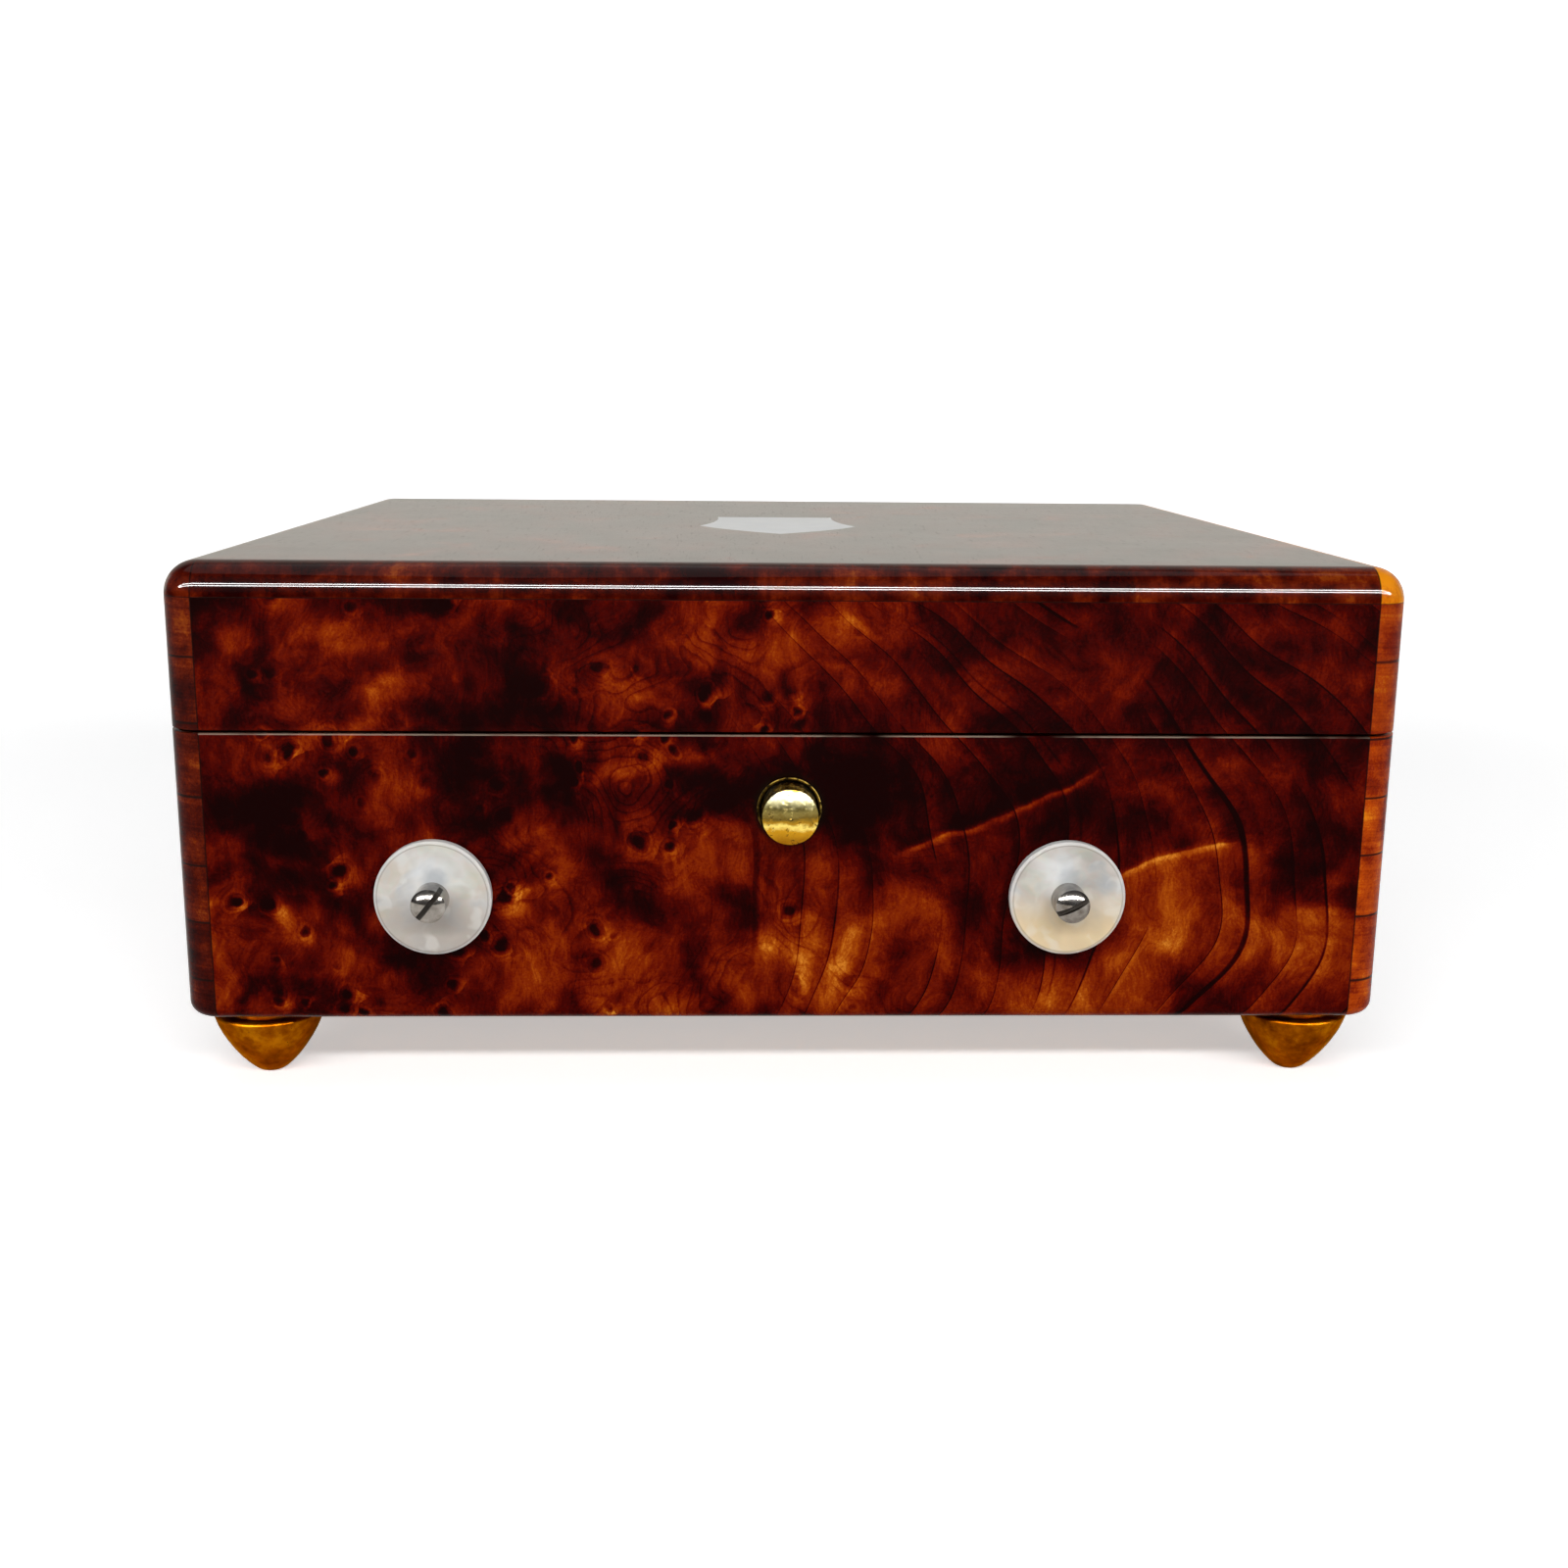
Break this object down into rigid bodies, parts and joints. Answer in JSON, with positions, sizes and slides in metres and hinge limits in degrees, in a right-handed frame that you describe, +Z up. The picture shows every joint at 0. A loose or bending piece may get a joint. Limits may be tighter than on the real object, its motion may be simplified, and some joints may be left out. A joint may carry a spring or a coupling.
{
  "type": "music box",
  "caption": "Music box in a veneered wooden case with a hinged lid, push-button catch, front control knobs and a pinned-cylinder movement under a glass cover.",
  "frame": {"origin": "on the floor, at the middle of the whole box's outline seen from above", "axes": "+X to the right along the front, +Y from the front to the back, +Z up"},
  "size_m": [0.2226, 0.2094, 0.0979],
  "materials": {
    "burr_veneer": "french polished burr veneer",
    "banding_veneer": "polished cross banding",
    "inner_wood": "stained, satin",
    "mother_of_pearl": "polished nacre",
    "brass": "aged, polished",
    "steel": "polished",
    "lead": "dull lead",
    "glass": "clear",
    "velvet": "short pile velvet"
  },
  "bodies": {
    "case": {"front_wall": "burr_veneer", "back_wall": "burr_veneer", "left_wall": "burr_veneer", "right_wall": "burr_veneer", "base_board": "inner_wood", "body_corner_bandings": "banding_veneer", "brass_feet": "brass", "control_bushes": "brass", "catch_bush": "brass", "catch_bracket": "brass", "bracket_screws": "steel", "hinge_lower_leaves": "brass", "hinge_lower_screws": "brass", "partition": "inner_wood", "compartment_lining": "velvet", "glass_cover": "glass", "glass_ledges": "inner_wood", "glass_beading": "inner_wood", "bedplate": "brass", "movement_screws": "steel", "left_cock": "brass", "right_cock": "brass", "governor_cock": "brass", "comb": "steel", "comb_leads": "lead", "comb_base": "brass"},
    "lid": {"lid_board": "burr_veneer", "lid_front_rail": "burr_veneer", "lid_back_rail": "burr_veneer", "lid_side_rails": "burr_veneer", "lid_corner_bandings": "banding_veneer", "lid_edge_bandings": "banding_veneer", "shield_inlay": "mother_of_pearl", "lid_lining": "velvet", "catch_keeper": "brass", "keeper_screws": "steel", "hinge_upper_leaves": "brass", "hinge_upper_screws": "brass"},
    "catch": {"catch_button": "brass", "catch_hook": "steel", "catch_spring": "steel"},
    "play_knob": {"play_disc": "mother_of_pearl", "play_screw": "steel", "play_spindle": "steel"},
    "change_knob": {"change_disc": "mother_of_pearl", "change_screw": "steel", "change_spindle": "steel"},
    "barrel": {"barrel_drum": "brass", "barrel_crown_wheel": "brass", "mainspring": "steel"},
    "winding": {"winding_arbor": "steel", "winding_key": "brass"},
    "click": {"click": "steel"},
    "arbor": {"cylinder_arbor": "steel", "great_wheel": "brass"},
    "cylinder": {"pinned_cylinder": "brass"},
    "governor": {"governor_arbor": "steel", "worm_wheel": "brass"},
    "fly": {"governor_worm": "steel", "governor_fly": "brass"}
  },
  "joints": [
    {"name": "lid_hinge", "type": "hinge", "parent": "case", "child": "lid", "pos_m": [0, 0.10275, 0.0679], "axis": [-1, 0, 0], "range_deg": [0, 100]},
    {"name": "catch_press", "type": "slide", "parent": "case", "child": "catch", "axis": [0, 1, 0], "range_m": [0, 0.0025], "stiffness_N_per_m": 300, "springref_m": -0.002},
    {"name": "play_turn", "type": "hinge", "parent": "case", "child": "play_knob", "pos_m": [0.051, -0.09625, 0.0378], "axis": [0, -1, 0], "range_deg": [0, 32]},
    {"name": "change_turn", "type": "hinge", "parent": "case", "child": "change_knob", "pos_m": [-0.0644, -0.09625, 0.0378], "axis": [0, 1, 0], "range_deg": [0, 40]},
    {"name": "cylinder_turn", "type": "hinge", "parent": "case", "child": "arbor", "pos_m": [0, -0.04025, 0.0418], "axis": [-1, 0, 0], "continuous": true},
    {"name": "cylinder_shift", "type": "slide", "parent": "arbor", "child": "cylinder", "axis": [1, 0, 0], "range_m": [0, 0.0008]},
    {"name": "barrel_turn", "type": "hinge", "parent": "case", "child": "barrel", "pos_m": [-0.084, -0.04025, 0.0318], "axis": [0, 0, -1], "continuous": true},
    {"name": "governor_turn", "type": "hinge", "parent": "case", "child": "governor", "pos_m": [0.04, -0.05513, 0.0418], "axis": [1, 0, 0], "continuous": true},
    {"name": "fly_turn", "type": "hinge", "parent": "case", "child": "fly", "pos_m": [0.042, -0.06383, 0.0438], "axis": [0, 0, 1], "continuous": true},
    {"name": "key_wind", "type": "hinge", "parent": "case", "child": "winding", "pos_m": [-0.084, -0.04025, 0.0138], "axis": [0, 0, -1], "range_deg": [0, 1800]},
    {"name": "click_lift", "type": "hinge", "parent": "case", "child": "click", "pos_m": [-0.0754, -0.03165, 0.02255], "axis": [0, 0, 1], "range_deg": [0, 10]}
  ],
  "couplings": [
    {"joint": "barrel_turn", "follows": "cylinder_turn", "ratio": 0.33333},
    {"joint": "governor_turn", "follows": "cylinder_turn", "ratio": 3},
    {"joint": "fly_turn", "follows": "cylinder_turn", "ratio": 72},
    {"joint": "change_turn", "follows": "cylinder_shift", "rad_per_m": 872.66}
  ]
}
